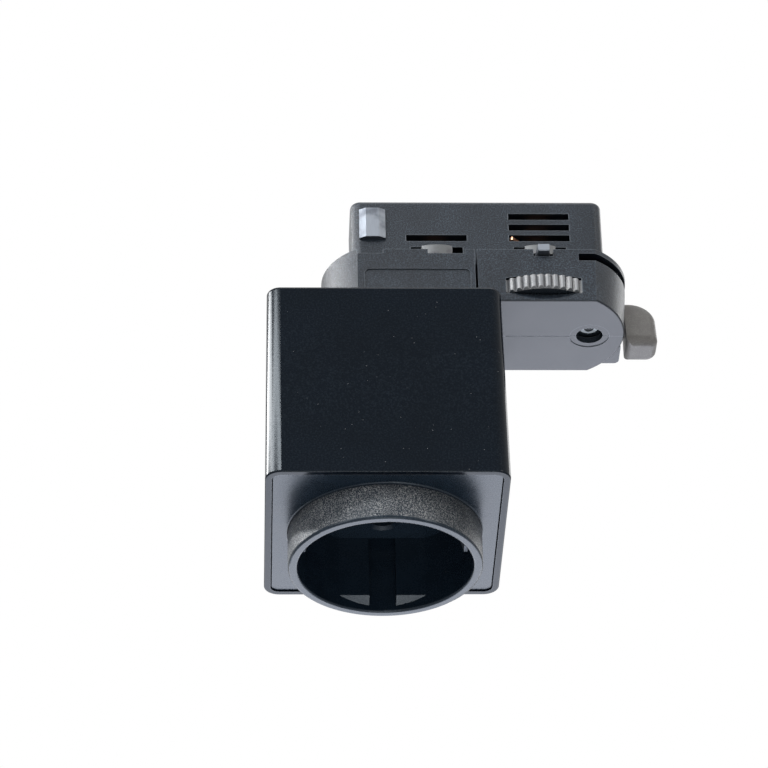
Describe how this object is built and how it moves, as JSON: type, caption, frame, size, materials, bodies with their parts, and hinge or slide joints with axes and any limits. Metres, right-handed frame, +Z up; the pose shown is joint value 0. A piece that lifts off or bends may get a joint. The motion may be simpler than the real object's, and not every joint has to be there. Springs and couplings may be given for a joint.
{
  "type": "power track socket",
  "caption": "Cube-shaped earthed plug socket hanging from a lighting-track adapter with a turning lock lever and a ribbed circuit selector wheel.",
  "frame": {"origin": "the shoulder where the adapter meets the track, on the socket's own axis", "axes": "+Z up into the track, +X along the track towards the lock lever, +Y away from the side with the key tab; the plug goes in along +Z from below"},
  "size_m": [0.0901, 0.0528, 0.0932],
  "materials": {
    "black_gloss": "satin black moulded plastic",
    "black_face": "satin black moulded plastic, lightly mottled",
    "base_ceramic": "pale thermoset moulding",
    "brass": "bright stamped brass",
    "nickel": "nickel-plated spring strip",
    "steel": "zinc-plated steel",
    "wire_brown": "brown insulation",
    "wire_blue": "blue insulation",
    "wire_green": "green insulation with a yellow stripe",
    "black_adapter": "fine-grained black moulded plastic",
    "grey_lever": "grey moulded plastic",
    "grey_wheel": "dark grey moulded plastic",
    "copper": "copper alloy contact strip"
  },
  "bodies": {
    "socket_body": {"socket_housing": "black_gloss", "socket_face": "black_face", "contact_cover": "black_face", "contact_base": "base_ceramic", "live_contact": "brass", "neutral_contact": "brass", "earth_clip": "nickel", "terminal_screws": "steel", "face_screw": "steel", "base_screws": "steel", "nipple": "steel", "nipple_nuts": "steel", "neck_spacer": "black_gloss", "live_wire": "wire_brown", "neutral_wire": "wire_blue", "earth_wire": "wire_green", "terminal_housing": "black_adapter", "terminal_cover": "black_adapter", "shell_front": "black_adapter", "shell_rear": "black_adapter", "contact_head": "black_adapter", "earth_contacts": "nickel", "head_screws": "steel", "key_tab": "nickel"},
    "lever": {"lock_lever": "grey_lever", "right_lock_dog": "steel"},
    "selector": {"selector_wheel": "grey_wheel", "phase_contacts": "copper"},
    "rotor": {"link_rotor": "grey_wheel", "left_lock_dog": "steel", "neutral_blade": "copper"},
    "link": {"coupling_link": "steel"}
  },
  "joints": [
    {"name": "lever_turn", "type": "hinge", "parent": "socket_body", "child": "lever", "pos_m": [0.0366, 0, 0], "axis": [0, 0, 1], "range_deg": [-84, 0]},
    {"name": "selector_turn", "type": "hinge", "parent": "socket_body", "child": "selector", "pos_m": [0.0366, 0, -0.01], "axis": [0, 0, 1], "range_deg": [0, 135]},
    {"name": "rotor_turn", "type": "hinge", "parent": "socket_body", "child": "rotor", "pos_m": [0.013, 0, 0], "axis": [0, 0, 1], "range_deg": [-84, 0]},
    {"name": "link_swing", "type": "hinge", "parent": "lever", "child": "link", "pos_m": [0.03156, -0.00486, -0.004], "axis": [0, 0, 1], "range_deg": [0, 84]}
  ],
  "couplings": [
    {"joint": "rotor_turn", "follows": "lever_turn", "ratio": 1},
    {"joint": "link_swing", "follows": "lever_turn", "ratio": -1}
  ]
}
